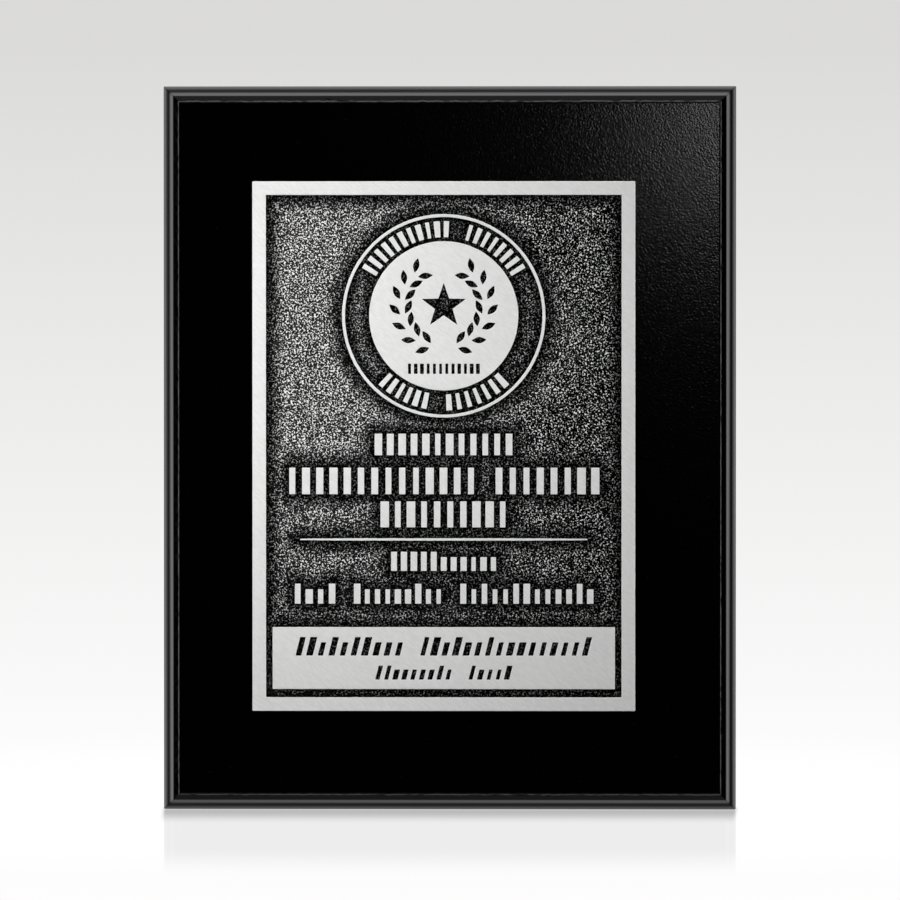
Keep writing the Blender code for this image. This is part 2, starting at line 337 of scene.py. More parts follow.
def groundMaterial(sizes):
    made, tree, shader, place = newMaterial("stippledPewter")
    flat = flatPlace(tree, place)
    fine, bigger = grainPattern(tree, flat, sizes["grainSize"])
    wall = put(tree, "ShaderNodeAttribute", attribute_name="wallDistance").outputs["Fac"]
    clear = remap(tree, wall, 0.0, sizes["shadeWidth"])
    parts = put(tree, "ShaderNodeSeparateXYZ", {0: flat})
    # painted light: the grains and the black of the pits grow brighter towards the left and the top, where
    # the key light falls; the drift makes its edge waver
    drift = calc(tree, "SUBTRACT", noiseAt(tree, flat, sizes["driftScale"], detail=2.0), 0.5)
    across = calc(tree, "ADD", parts.outputs["X"], calc(tree, "MULTIPLY", drift, sizes["drift"]))
    paintedLightSide = remap(tree, across, *sizes["paintedLightAcross"])
    paintedLightTop = remap(tree, parts.outputs["Z"], *sizes["paintedLightDown"], sizes["paintedLightLeast"], 1.0)
    paintedLight = calc(tree, "MULTIPLY", calc(tree, "MULTIPLY", paintedLightSide, paintedLightTop), clear)
    patch = calc(tree, "MULTIPLY", calc(tree, "SUBTRACT", bigger, 0.5), sizes["patchiness"])
    lift = calc(tree, "ADD", remap(tree, paintedLight, 0.0, 1.0, *sizes["lift"], smooth=False), patch)
    grain = remap(tree, calc(tree, "ADD", fine, lift), *sizes["grainRange"])
    shade = remap(tree, clear, 0.0, 1.0, sizes["shadeShare"], 1.0, smooth=False)
    black = blendColour(tree, paintedLight, sizes["oxide"], sizes["paintedLitOxide"])
    colour = blendColour(tree, calc(tree, "MULTIPLY", grain, shade), black, sizes["bright"])
    tree.links.new(colour, shader.inputs["Base Color"])
    tree.links.new(grain, shader.inputs["Metallic"])
    tree.links.new(remap(tree, grain, 0.0, 1.0, *sizes["grainRoughness"]), shader.inputs["Roughness"])
    shader.inputs["Specular IOR Level"].default_value = 0.0
    settings = {"Strength": sizes["bumpStrength"], "Distance": sizes["bumpDepth"], "Height": fine}
    tree.links.new(put(tree, "ShaderNodeBump", settings).outputs[0], shader.inputs["Normal"])
    return made


blackLacquer = lacquerMaterial(lacquerLook)
satinPewter = metalMaterial(metalLook)
print("materials made")


# helpers for shapes

def arc(centre, radii, start, end, steps):
    points = []
    for step in range(steps + 1):
        angle = math.radians(start + (end - start) * step / steps)
        points.append(centre + Vector((radii[0] * math.cos(angle), radii[1] * math.sin(angle))))
    return points


def circle(centre, radius, spacing=0.0006):
    return arc(centre, (radius, radius), 0, 360, round(math.tau * radius / spacing))[:-1]


def rectangle(centre, width, height):
    x, y = width / 2, height / 2
    return [centre + Vector(corner) for corner in ((-x, -y), (x, -y), (x, y), (-x, y))]


def tapered(centre, length, height, thinning=0.45):  # a line that thins out towards its ends
    outline = []
    for side in (-1, 1):
        for share in (-1, -0.85, -0.6, 0, 0.6, 0.85, 1):
            thick = 1 - thinning * abs(share) ** 4
            outline.append(centre + Vector((-side * share * length / 2, side * thick * height / 2)))
    return outline


def crowded(points, spacing):  # the same outline with more points on it
    more = []
    for here, after in zip(points, points[1:] + points[:1]):
        count = max(1, round((after - here).length / spacing))
        more += [here.lerp(after, step / count) for step in range(count)]
    return more


def cutCorners(points):  # each corner is cut off a quarter of the way along its edges
    cut = []
    for here, after in zip(points, points[1:] + points[:1]):
        cut += [here.lerp(after, 0.25), here.lerp(after, 0.75)]
    return cut


def ragged(points, amount, size):  # the slight wander of an etched edge
    anyLevel = 3.7  # one slice of the noise
    moved = []
    for point in points:
        sway = noise.noise_vector(Vector((point.x / size, anyLevel, point.y / size)))
        moved.append(point + Vector((sway.x, sway.z)) * amount)
    return moved


def facing(points, outer):  # an outer outline runs anticlockwise and a hole clockwise
    area = sum(a.x * b.y - b.x * a.y for a, b in zip(points, points[1:] + points[:1]))
    return points if (area > 0) == outer else points[::-1]


def inwards(points, distance):  # towards the metal, which lies on the left of every outline
    moved = []
    for index, here in enumerate(points):
        before = (here - points[index - 1]).normalized()
        after = (points[(index + 1) % len(points)] - here).normalized()
        left = Vector((-before.y - after.y, before.x + after.x))
        moved.append(here + left * (distance / (1 + before.dot(after))))
    return moved


def fillFlat(shape, loops):
    verts = [vert for loop in loops for vert in loop]
    places = [Vector((vert.co.x, vert.co.z)) * 1000 for vert in verts]  # millimetres, for its precision
    outlines = []
    start = 0
    for loop in loops:
        outlines.append(range(start, start + len(loop)))
        start += len(loop)
    found = delaunay_2d_cdt(places, [], outlines, 2, 0.000001)  # 2 leaves out the holes
    for triangle in found[2]:
        shape.faces.new([verts[found[3][index][0]] for index in triangle])


def newPiece(name, shape):
    bmesh.ops.recalc_face_normals(shape, faces=shape.faces)
    mesh = bpy.data.meshes.new(name)
    shape.to_mesh(mesh)
    shape.free()
    piece = bpy.data.objects.new(name, mesh)
    bpy.context.scene.collection.objects.link(piece)
    return piece


def standing(name, outlines, foot, top, edge=0.0, steps=3):
    # rings from the foot up, then over the rounded edge
    rings = [(0.0, foot)]
    for step in range(steps + 1 if edge else 1):
        turn = math.radians(90 * step / steps)
        rings.append((edge * (1 - math.cos(turn)), top + edge * (1 - math.sin(turn))))
    shape = bmesh.new()
    levels = []
    for inset, y in rings:
        levels.append([[shape.verts.new((p.x, y, p.y)) for p in inwards(one, inset)] for one in outlines])
    for low, high in zip(levels, levels[1:]):
        for below, above in zip(low, high):
            for index in range(len(below)):
                corners = (below[index - 1], below[index], above[index], above[index - 1])
                shape.faces.new(corners).smooth = True
    fillFlat(shape, levels[0])
    fillFlat(shape, levels[-1])
    return newPiece(name, shape)


def coat(tree, shaped, takes, gives):  # the end of a geometry tree
    real = put(tree, "GeometryNodeRealizeInstances", {"Geometry": shaped.outputs[0]})
    inputs = {"Geometry": real.outputs[0], "Material": takes.outputs["Metal"]}
    painted = put(tree, "GeometryNodeSetMaterial", inputs)
    tree.links.new(painted.outputs[0], gives.inputs["Geometry"])


def settle(piece):  # keeps the evaluated shape as a plain mesh
    graph = bpy.context.evaluated_depsgraph_get()
    made = bpy.data.meshes.new_from_object(
        piece.evaluated_get(graph), preserve_all_data_layers=True, depsgraph=graph
    )
    old = piece.data
    piece.modifiers.clear()
    piece.data = made
    bpy.data.meshes.remove(old)
    made.name = piece.name
    return piece


def finishPiece(piece, node, material=None):
    if material:
        piece.data.materials.clear()
        piece.data.materials.append(material)
    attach(piece, "root")
    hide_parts(node)
    print("made", piece.name, len(piece.data.polygons), "faces")


# the board

boardSizes = {
    "backEdge": 0.0004,
    "lip": (0.0017, 0.0019),  # width and rise
    "lean": 0.38,  # slope of the hollow between the lip and the ogee
    "ogee": (0.0021, 0.00152),
    "shelf": (0.00122, 0.00018),
    "arris": (0.0007, 0.00037),  # the step up to the flat face
    "steps": {"lip": 11, "ogee": 18, "arris": 8},
    "cornerRound": 0.00045,
    "mitreRound": 0.00012,
    "mitreDepth": 0.00010,  # the fine groove across each corner
    "mitreFrom": 0.001,  # the groove starts this far out from the back
    "capInset": 0.0006,  # a narrow ring of faces around each flat
    "spacing": 0.0008,  # between points along a side
    "smoothUnder": 38,
    "sway": 0.00002,
    "swayScale": 420,
    "swayRise": 126,
    "arrisSway": 0.00015,
    "arrisSwayScale": 1000,
    "arrisRuns": 1.0,  # how far runs of lacquer fill the arris up to the face
    "arrisRunScale": 800,
}
keyholeSizes = {
    "drop": 0.0220,
    "run": 0.0130,
    "depth": 0.0090,
    "lip": 0.0030,
    "entryWidth": 0.0104,
    "headWidth": 0.0098,
    "neckWidth": 0.0052,
    "overlap": 0.00001,
}


def climb(section, size, steps, lean, skew=1.7):  # starts at the slope `lean` and ends level
    shares = [(step + 0.5) / steps for step in range(steps)]
    width = size[0] / steps
    steady = [lean * (1 - share) for share in shares]
    swell = [math.sin(math.pi * share**skew) for share in shares]
    strength = (size[1] / width - sum(steady)) / sum(swell)
    for slope, more in zip(steady, swell):
        section.append(section[-1] + Vector((width, width * (slope + strength * more))))


def boardSection(sizes, thickness):  # (in from the side, out from the back)
    lip, ogee, shelf, arris = (sizes[key] for key in ("lip", "ogee", "shelf", "arris"))
    steps = sizes["steps"]
    foot = thickness - lip[1] - ogee[1] - shelf[1] - arris[1]
    section = arc(Vector((sizes["backEdge"],) * 2), (sizes["backEdge"],) * 2, 270, 180, 3)
    bulge = (lip[0], lip[1] - sizes["lean"] * lip[0])
    for point in arc(Vector((lip[0], foot)), bulge, 180, 90, steps["lip"]):
        section.append(point + Vector((0, sizes["lean"] * point.x)))
    climb(section, ogee, steps["ogee"], sizes["lean"])
    section.append(section[-1] + Vector(shelf))
    climb(section, arris, steps["arris"], shelf[1] / shelf[0])
    return section


def boardRing(inset, sizes, width, height):
    half = Vector((width / 2 - inset, height / 2 - inset))
    radius = max(sizes["mitreRound"], sizes["cornerRound"] - inset)
    corners = []
    for index, (x, y) in enumerate(((1, 1), (-1, 1), (-1, -1), (1, -1))):
        centre = Vector((x * (half.x - radius), y * (half.y - radius)))
        corners.append(arc(centre, (radius, radius), 90 * index, 90 * index + 90, 4))
    ring = []
    for index, corner in enumerate(corners):
        after = corners[(index + 1) % 4]
        count = round((height if index % 2 else width) / sizes["spacing"])
        ring += corner
        ring += [corner[-1].lerp(after[0], step / count) for step in range(1, count)]
    return ring


def makeBoard(sizes):
    width, height = boardHigh.x - boardLow.x, boardHigh.z - boardLow.z
    centre = (boardLow + boardHigh) / 2
    section = boardSection(sizes, boardHigh.y - boardLow.y)
    face = section[-1]
    nearly = 0.00001
    cap = Vector((sizes["capInset"], 0))
    runPlace = Vector((7, 0, 0))  # another part of the noise than the sway's
    arrisFrom = face.x - sizes["arris"][0] - nearly
    section = [section[0] + cap] + section + [face + cap]
    shape = bmesh.new()
    rings = []
    for inset, out in section:
        ring = []
        onArris = arrisFrom < inset <= face.x
        grooved = out > sizes["mitreFrom"] and inset < face.x - nearly
        for point in boardRing(inset, sizes, width, height):
            at = Vector((point.x, point.y, 0))
            rise = out
            if onArris:
                run = max(0, noise.noise(at * sizes["arrisRunScale"] + runPlace)) * sizes["arrisRuns"]
                rise += (face.y - out) * min(1, run)
                wave = noise.noise(at * sizes["arrisSwayScale"]) * sizes["arrisSway"]
            else:
                swayPlace = at * sizes["swayScale"] + Vector((0, 0, out * sizes["swayRise"]))
                wave = (noise.noise(swayPlace) - 1) * sizes["sway"] / 2
            offMitre = abs(abs(point.x) - abs(point.y) - (width - height) / 2)
            if grooved and offMitre < nearly:
                rise -= sizes["mitreDepth"]
            point += point.normalized() * wave
            ring.append(shape.verts.new((centre.x + point.x, boardHigh.y - rise, centre.z + point.y)))
        rings.append(ring)
    for low, high in zip(rings, rings[1:]):
        for index in range(len(low)):
            shape.faces.new((low[index - 1], low[index], high[index], high[index - 1]))
    shape.faces.new(rings[0])
    shape.faces.new(rings[-1])
    return newPiece("lacqueredBoard", shape)


def slotOutline(start, end, width):
    radii = (width / 2, width / 2)
    return arc(Vector((0, end)), radii, 0, 180, 16) + arc(Vector((0, start)), radii, 180, 360, 16)


def cutKeyhole(board, sizes):
    end = boardHigh.z - sizes["drop"]
    start = end - sizes["run"]
    cutters = []
    for name, first, width, shallow in (
        ("keyholeEntry", start, sizes["entryWidth"], -sizes["lip"]),
        ("keyholeHead", end, sizes["headWidth"], sizes["lip"]),
        ("keyholeNeck", end, sizes["neckWidth"], -sizes["lip"]),
    ):
        outline = slotOutline(start - sizes["overlap"], first, width)
        cutter = standing(name, [outline], -shallow, -sizes["depth"])
        modifier = board.modifiers.new(name, "BOOLEAN")
        modifier.operation = "DIFFERENCE"
        modifier.solver = "EXACT"
        modifier.object = cutter
        cutters.append(cutter)
    settle(board)
    for cutter in cutters:
        bpy.data.objects.remove(cutter)


board = makeBoard(boardSizes)
cutKeyhole(board, keyholeSizes)
board.data.shade_smooth()
board.data.set_sharp_from_angle(angle=math.radians(boardSizes["smoothUnder"]))
finishPiece(board, "backing_board", blackLacquer)


# where the relief stands, from the top of the plate down

reliefSizes = {
    "border": 0.00475,
    "foot": 0.0006,  # how far a raised shape reaches into the ground
    "edge": 0.00013,  # rounding of polished edges
    "rimSpacing": 0.0008,  # between points along the plate's outer edge
    "spacing": 0.0005,  # and along an etched one
    "ragged": 0.00007,
    "raggedSize": 0.0011,
    "ruleSwell": 1.3,  # how much thicker than its row the rule is in its middle
}
emblemSizes = {
    "gap": 0.0067,
    "radius": 0.0356,
    "line": 0.00105,
    "band": 0.00845,
    "clearance": 0.0014,
    "pitch": 0.0032,
    "upperArc": {"degrees": 122, "words": (7, 5), "seed": 11},
    "lowerArc": {"degrees": 90, "words": (4, 5), "seed": 12},
}
motifSizes = {  # shares of the disc's radius
    "lift": 0.13,
    "wreathRadius": 0.56,
    "start": 9,
    "sweep": 140,
    "leafLength": 0.20,
    "leafWidth": 0.085,
    "leafTurn": 36,
    "leafOffset": 0.034,
    "pairs": 7,
    "starRadius": 0.31,
    "starWaist": 0.40,
    "rowDrop": 0.71,
    "rowLength": 1.00,
    "rowHeight": 0.137,
    "rowPitch": 0.084,
    "seed": 13,
}
rowSizes = (
    {"gap": 0.00565, "height": 0.00755, "margin": 0.0373, "pitch": 0.0042, "words": (1,), "tall": 1.0},
    {"gap": 0.00435, "height": 0.0093, "margin": 0.0068, "pitch": 0.0048, "words": (7, 4), "tall": 1.0},
    {"gap": 0.0025, "height": 0.0091, "margin": 0.0393, "pitch": 0.0046, "words": (1,), "tall": 1.0},
    {"gap": 0.0039, "height": 0.00065, "margin": 0.0120, "pitch": 0, "words": (1,), "tall": 1.0},
    {"gap": 0.0040, "height": 0.0067, "margin": 0.0431, "pitch": 0.0036, "words": (1,), "tall": 0.3},
    {"gap": 0.0045, "height": 0.0070, "margin": 0.0091, "pitch": 0.0036, "words": (3, 6, 9), "tall": 0.25},
)
panelSizes = {
    "gap": 0.0082,
    "sideGap": 0.0023,
    "footSpace": 0.0033,
    "slant": 14,
    "seed": 40,
    "rows": (
        {"gap": 0.0035, "height": 0.0065, "margin": 0.0079, "pitch": 0.0038, "words": (7, 11), "tall": 0.25},
        {"gap": 0.0035, "height": 0.0049, "margin": 0.0358, "pitch": 0.0030, "words": (7, 4), "tall": 0.25},
    ),
}
strokeSizes = {
    "wordSpace": 0.0050,
    "fill": (0.40, 0.66),  # width of a stroke, as a share of its pitch
    "short": 0.72,  # height of a short one
    "seed": 20,
    "points": (4, 2, 12),  # along each side of a raised bar
    "edgeSteps": 3,
    "edgeAngle": 50,
}

fieldWidth = plateHigh.x - plateLow.x - 2 * reliefSizes["border"]
fieldHeight = plateHigh.z - plateLow.z - 2 * reliefSizes["border"]
reliefFoot = plateFace + groundSizes["depth"] + reliefSizes["foot"]
reliefEdge = reliefSizes["edge"]


def strokeCells(length, height, pitch, words, tall, seed):  # left, bottom, right, top of each
    randomSource = random.Random(seed)
    free = length - strokeSizes["wordSpace"] * (len(words) - 1)
    cells = []
    left = -length / 2
    for word in words:
        span = free * word / sum(words)
        count = max(1, round(span / pitch))
        cell = span / count
        for index in range(count):
            width = cell * randomSource.uniform(*strokeSizes["fill"])
            full = index == 0 or randomSource.random() < tall
            top = height / 2 if full else height * (strokeSizes["short"] - 0.5)
            middle = left + cell * (index + 0.5)
            cells.append((middle - width / 2, -height / 2, middle + width / 2, top))
        left += span + strokeSizes["wordSpace"]
    return cells


def etched(points, outer=False):  # a sunk or raised outline with soft corners and a slight wander
    softened = cutCorners(crowded(points, reliefSizes["spacing"]))
    return facing(ragged(softened, reliefSizes["ragged"], reliefSizes["raggedSize"]), outer)


def sunkRow(centre, cells, slant=0):
    lean = math.tan(math.radians(slant))
    outlines = []
    for left, bottom, right, top in cells:
        corners = ((left, bottom), (right, bottom), (right, top), (left, top))
        outlines.append(etched([centre + Vector((x + lean * y, y)) for x, y in corners]))
    return outlines


def leaf(base, heading, length, width):
    along = Vector((math.cos(heading), math.sin(heading)))
    across = Vector((-along.y, along.x))
    outline = []
    for side, shares in ((1, range(0, 8)), (-1, range(8, 0, -1))):
        for step in shares:
            bulge = side * width / 2 * math.sin(math.pi * step / 8)
            outline.append(base + along * length * step / 8 + across * bulge)
    return outline


def wreath(centre, unit, sizes):
    outlines = []
    for side in (1, -1):
        for pair in range(sizes["pairs"]):
            share = (pair + 0.5) / sizes["pairs"]
            angle = math.radians(-90 + side * (sizes["start"] + sizes["sweep"] * share))
            growth = angle + side * math.pi / 2
            for across in (1, -1):
                reach = (sizes["wreathRadius"] + across * sizes["leafOffset"]) * unit
                base = centre + Vector((math.cos(angle), math.sin(angle))) * reach
                heading = growth - side * across * math.radians(sizes["leafTurn"])
                outlines.append(leaf(base, heading, sizes["leafLength"] * unit, sizes["leafWidth"] * unit))
    return outlines


def star(centre, radius, waist):
    outline = []
    for point in range(10):
        reach = radius if point % 2 == 0 else radius * waist
        angle = math.radians(90 + 36 * point)
        outline.append(centre + Vector((math.cos(angle), math.sin(angle))) * reach)
    return outline


def discHoles(centre, unit, sizes):
    middle = centre + Vector((0, sizes["lift"] * unit))
    holes = [etched(one) for one in wreath(middle, unit, sizes)]
    holes.append(etched(star(middle, sizes["starRadius"] * unit, sizes["starWaist"])))
    length, height, pitch = (sizes[key] * unit for key in ("rowLength", "rowHeight", "rowPitch"))
    cells = strokeCells(length, height, pitch, (1,), 1.0, sizes["seed"])
    return holes + sunkRow(centre - Vector((0, sizes["rowDrop"] * unit)), cells)


# raised strokes: one point for each, which the tree turns into a bar, bends and roughens

def strokeTree():
    tree, takes, gives = newGroup(
        "raisedStrokes",
        "GeometryNodeTree",
        {
            "Geometry": "Geometry",
            "Ragged Edge": 0.0,
            "Ragged Size": 0.001,
            "Seed": 0.0,
            "Metal": "Material",
        },
        {"Geometry": "Geometry"},
    )

    def named(name, kind):
        made = put(tree, "GeometryNodeInputNamedAttribute", {"Name": name}, data_type=kind)
        return made.outputs["Attribute"]

    counts = dict(zip(("Vertices X", "Vertices Y", "Vertices Z"), strokeSizes["points"]))
    bar = put(tree, "GeometryNodeMeshCube", counts)
    copies = put(
        tree,
        "GeometryNodeInstanceOnPoints",
        {
            "Points": takes.outputs["Geometry"],
            "Instance": bar.outputs["Mesh"],
            "Scale": named("strokeSize", "FLOAT_VECTOR"),
        },
    )
    real = put(tree, "GeometryNodeRealizeInstances", {"Geometry": copies.outputs[0]})
    at = put(tree, "ShaderNodeSeparateXYZ", {0: tree.nodes.new("GeometryNodeInputPosition").outputs[0]})
    radius = named("bendRadius", "FLOAT")
    side = named("bendSide", "FLOAT")
    turn = calc(tree, "DIVIDE", at.outputs["X"], calc(tree, "MAXIMUM", radius, 0.001))
    reach = calc(tree, "ADD", radius, calc(tree, "MULTIPLY", side, at.outputs["Z"]))
    bentX = calc(tree, "MULTIPLY", reach, calc(tree, "SINE", turn))
    bentZ = calc(tree, "MULTIPLY", calc(tree, "MULTIPLY", side, reach), calc(tree, "COSINE", turn))
    straight = calc(tree, "SUBTRACT", 1.0, calc(tree, "ABSOLUTE", side))
    x = calc(tree, "ADD", bentX, calc(tree, "MULTIPLY", straight, at.outputs["X"]))
    z = calc(tree, "ADD", bentZ, calc(tree, "MULTIPLY", straight, at.outputs["Z"]))
    bent = put(tree, "ShaderNodeCombineXYZ", {"X": x, "Y": at.outputs["Y"], "Z": z}).outputs[0]
    placed = vectorCalc(tree, "ADD", bent, named("rowCentre", "FLOAT_VECTOR"))
    wander = put(
        tree,
        "ShaderNodeTexNoise",
        {
            "Vector": flatPlace(tree, placed),
            "W": takes.outputs["Seed"],
            "Scale": calc(tree, "DIVIDE", 1.0, takes.outputs["Ragged Size"]),
            "Detail": 1.0,
        },
        noise_dimensions="4D",
    )
    sway = vectorCalc(tree, "SUBTRACT", wander.outputs["Color"], (0.5, 0.5, 0.5))
    sway = vectorCalc(tree, "MULTIPLY", sway, (2.0, 0.0, 2.0))
    sway = vectorCalc(tree, "SCALE", sway, takes.outputs["Ragged Edge"])
    moved = put(
        tree,
        "GeometryNodeSetPosition",
        {"Geometry": real.outputs[0], "Position": vectorCalc(tree, "ADD", placed, sway)},
    )
    coat(tree, moved, takes, gives)
    return tree


def grow(piece, tree, values):
    modifier = piece.modifiers.new(tree.name, "NODES")
    modifier.node_group = tree
    for item in tree.interface.items_tree:
        if item.item_type == "SOCKET" and item.in_out == "INPUT" and item.name in values:
            modifier[item.identifier] = values[item.name]


def makeStrokes(name, rows):  # rows of (cells, centre, bend radius, bend side)
    places, strokes, centres, radii, sides = [], [], [], [], []
    middle = (reliefFoot + plateFace) / 2
    for cells, centre, radius, side in rows:
        for left, bottom, right, top in cells:
            places.append(((left + right) / 2, middle, (bottom + top) / 2))
            strokes += (right - left, reliefFoot - plateFace, top - bottom)
            centres += (centre.x, 0.0, centre.y)
            radii.append(radius)
            sides.append(side)
    mesh = bpy.data.meshes.new(name)
    mesh.from_pydata(places, [], [])
    labels = (
        ("strokeSize", "FLOAT_VECTOR", "vector", strokes),
        ("rowCentre", "FLOAT_VECTOR", "vector", centres),
        ("bendRadius", "FLOAT", "value", radii),
        ("bendSide", "FLOAT", "value", sides),
    )
    for label, kind, key, values in labels:
        mesh.attributes.new(label, kind, "POINT").data.foreach_set(key, values)
    piece = bpy.data.objects.new(name, mesh)
    bpy.context.scene.collection.objects.link(piece)
    grow(
        piece,
        strokeTree(),
        {
            "Ragged Edge": reliefSizes["ragged"],
            "Ragged Size": reliefSizes["raggedSize"],
            "Seed": 4.0,
            "Metal": satinPewter,
        },
    )
    rounding = piece.modifiers.new("roundedEdges", "BEVEL")
    rounding.width = reliefEdge
    rounding.segments = strokeSizes["edgeSteps"]
    rounding.limit_method = "ANGLE"
    rounding.angle_limit = math.radians(strokeSizes["edgeAngle"])
    rounding.harden_normals = True
    settle(piece)
    for label, *_ in labels:
        piece.data.attributes.remove(piece.data.attributes[label])
    return piece


# the plate, from the top down

def makeRim():
    outer = rectangle(plateCentre, plateHigh.x - plateLow.x, plateHigh.z - plateLow.z)
    outer = cutCorners(crowded(outer, reliefSizes["rimSpacing"]))
    inner = etched(rectangle(plateCentre, fieldWidth, fieldHeight))
    return standing("plateBorder", [facing(outer, True), inner], plateBack, plateFace, reliefEdge)


level = plateCentre.y + fieldHeight / 2 - emblemSizes["gap"] - emblemSizes["radius"]
emblemCentre = Vector((plateCentre.x, level))
ringInside = emblemSizes["radius"] - emblemSizes["line"]
discRadius = ringInside - emblemSizes["band"]
strokeRadius = (ringInside + discRadius) / 2
strokeRows = []
for side, key in ((1, "upperArc"), (-1, "lowerArc")):
    span = emblemSizes[key]
    arcLength = math.radians(span["degrees"]) * strokeRadius
    arcHeight = emblemSizes["band"] - 2 * emblemSizes["clearance"]
    cells = strokeCells(arcLength, arcHeight, emblemSizes["pitch"], span["words"], 1.0, span["seed"])
    strokeRows.append((cells, emblemCentre, strokeRadius, side))

rim = makeRim()
ring = standing(
    "emblemRing",
    [
        etched(circle(emblemCentre, emblemSizes["radius"]), True),
        etched(circle(emblemCentre, ringInside)),
    ],
    reliefFoot,
    plateFace,
    reliefEdge,
)
disc = standing(
    "emblemDisc",
    [etched(circle(emblemCentre, discRadius), True)] + discHoles(emblemCentre, discRadius, motifSizes),
    reliefFoot,
    plateFace,
    reliefEdge,
)

level -= emblemSizes["radius"]
for index, row in enumerate(rowSizes):
    level -= row["gap"] + row["height"]
    centre = Vector((plateCentre.x, level + row["height"] / 2))
    length = fieldWidth - 2 * row["margin"]
    if row["pitch"] == 0:
        ruleHeight = centre.y
        outline = etched(tapered(centre, length, row["height"] * reliefSizes["ruleSwell"]), True)
        rule = standing("ruleLine", [outline], reliefFoot, plateFace, reliefEdge / 2)
        continue
    seed = strokeSizes["seed"] + index
    cells = strokeCells(length, row["height"], row["pitch"], row["words"], row["tall"], seed)
    strokeRows.append((cells, centre, 0.0, 0.0))
strokes = makeStrokes("raisedStrokes", strokeRows)

level -= panelSizes["gap"]
panelWidth = fieldWidth - 2 * panelSizes["sideGap"]
panelHeight = sum(row["gap"] + row["height"] for row in panelSizes["rows"]) + panelSizes["footSpace"]
panelCentre = Vector((plateCentre.x, level - panelHeight / 2))
panelOutlines = [etched(rectangle(panelCentre, panelWidth, panelHeight), True)]
for index, row in enumerate(panelSizes["rows"]):
    level -= row["gap"] + row["height"]
    centre = Vector((plateCentre.x, level + row["height"] / 2))
    length = panelWidth - 2 * row["margin"]
    seed = panelSizes["seed"] + index
    cells = strokeCells(length, row["height"], row["pitch"], row["words"], row["tall"], seed)
    panelOutlines += sunkRow(centre, cells, panelSizes["slant"])
panel = standing("namePanel", panelOutlines, reliefFoot, plateFace, reliefEdge)
print("relief outlined")


# the etched ground, in four tiles that meet under the rule and down the middle

def groundTile(name, low, high):  # corners, each (x, z)
    middle, size = (low + high) / 2, high - low
    counts = [round(side / groundSizes["gridStep"]) for side in size]
    floor = plateFace + groundSizes["depth"]
    shape = bmesh.new()
    bmesh.ops.create_grid(shape, x_segments=counts[0], y_segments=counts[1], size=0.5)
    for vert in shape.verts:
        vert.co = (middle.x + vert.co.x * size.x, floor, middle.y + vert.co.y * size.y)
    around = [edge for edge in shape.edges if edge.is_boundary]
    walls = bmesh.ops.extrude_edge_only(shape, edges=around)["geom"]
    lowest = [item for item in walls if isinstance(item, bmesh.types.BMVert)]
    for vert in lowest:
        vert.co.y = plateBack - groundSizes["backGap"]
    rim = [item for item in walls if isinstance(item, bmesh.types.BMEdge) and item.is_boundary]
    bmesh.ops.contextual_create(shape, geom=rim)
    return newPiece(name, shape)


def groundTree():
    tree, takes, gives = newGroup(
        "stippledGround",
        "GeometryNodeTree",
        {
            "Geometry": "Geometry",
            "Relief": "Collection",
            "Floor": 0.0,
            "Grain Size": 0.0006,
            "Grain Height": 0.0001,
            "Metal": "Material",
        },
        {"Geometry": "Geometry"},
    )
    position = tree.nodes.new("GeometryNodeInputPosition").outputs[0]
    fine, bigger = grainPattern(tree, flatPlace(tree, position), takes.outputs["Grain Size"])
    relief = put(tree, "GeometryNodeCollectionInfo", {"Collection": takes.outputs["Relief"]})
    shown = put(tree, "GeometryNodeRealizeInstances", {"Geometry": relief.outputs[0]})
    near = put(tree, "GeometryNodeProximity", {0: shown.outputs[0]}, target_element="FACES")
    pattern = calc(tree, "ADD", fine, calc(tree, "MULTIPLY", bigger, groundSizes["patchRise"]))
    rise = calc(tree, "SUBTRACT", pattern, groundSizes["grainMiddle"])
    lift = calc(tree, "MULTIPLY", calc(tree, "MULTIPLY", rise, 2.0), takes.outputs["Grain Height"])
    y = put(tree, "ShaderNodeSeparateXYZ", {0: position}).outputs["Y"]
    top = calc(tree, "LESS_THAN", y, calc(tree, "ADD", takes.outputs["Floor"], 0.0001))  # not the walls
    forward = calc(tree, "MULTIPLY", calc(tree, "MULTIPLY", lift, top), -1.0)
    out = put(tree, "ShaderNodeCombineXYZ", {"Y": forward})
    kept = put(
        tree,
        "GeometryNodeStoreNamedAttribute",
        {
            "Geometry": takes.outputs["Geometry"],
            "Name": "wallDistance",
            "Value": near.outputs["Distance"],
        },
        data_type="FLOAT",
        domain="POINT",
    )
    moved = put(
        tree, "GeometryNodeSetPosition", {"Geometry": kept.outputs[0], "Offset": out.outputs[0]}
    )
    coat(tree, moved, takes, gives)
    return tree


reliefPieces = bpy.data.collections.new("reliefPieces")
for piece in (rim, ring, disc, rule, strokes, panel):
    reliefPieces.objects.link(piece)
reach = Vector((fieldWidth, fieldHeight)) / 2 + Vector((groundSizes["tuck"], groundSizes["tuck"]))
low, high = plateCentre - reach, plateCentre + reach
groundPattern = groundTree()
stippledPewter = groundMaterial(groundSizes)
grounds = []
for name, corner, opposite in (
    ("groundUpperLeft", (low.x, ruleHeight), (plateCentre.x, high.y)),
    ("groundUpperRight", (plateCentre.x, ruleHeight), (high.x, high.y)),
    ("groundLowerLeft", (low.x, low.y), (plateCentre.x, ruleHeight)),
    ("groundLowerRight", (plateCentre.x, low.y), (high.x, ruleHeight)),
):
    ground = groundTile(name, Vector(corner), Vector(opposite))
    grow(
        ground,
        groundPattern,
        {
            "Relief": reliefPieces,
            "Floor": plateFace + groundSizes["depth"],
            "Grain Size": groundSizes["grainSize"],
            "Grain Height": groundSizes["grainHeight"],
            "Metal": stippledPewter,
        },
    )
    settle(ground)
    ground.data.shade_smooth()
    ground.data.set_sharp_from_angle(angle=math.radians(groundSizes["smoothUnder"]))
    grounds.append(ground)
bpy.data.collections.remove(reliefPieces)
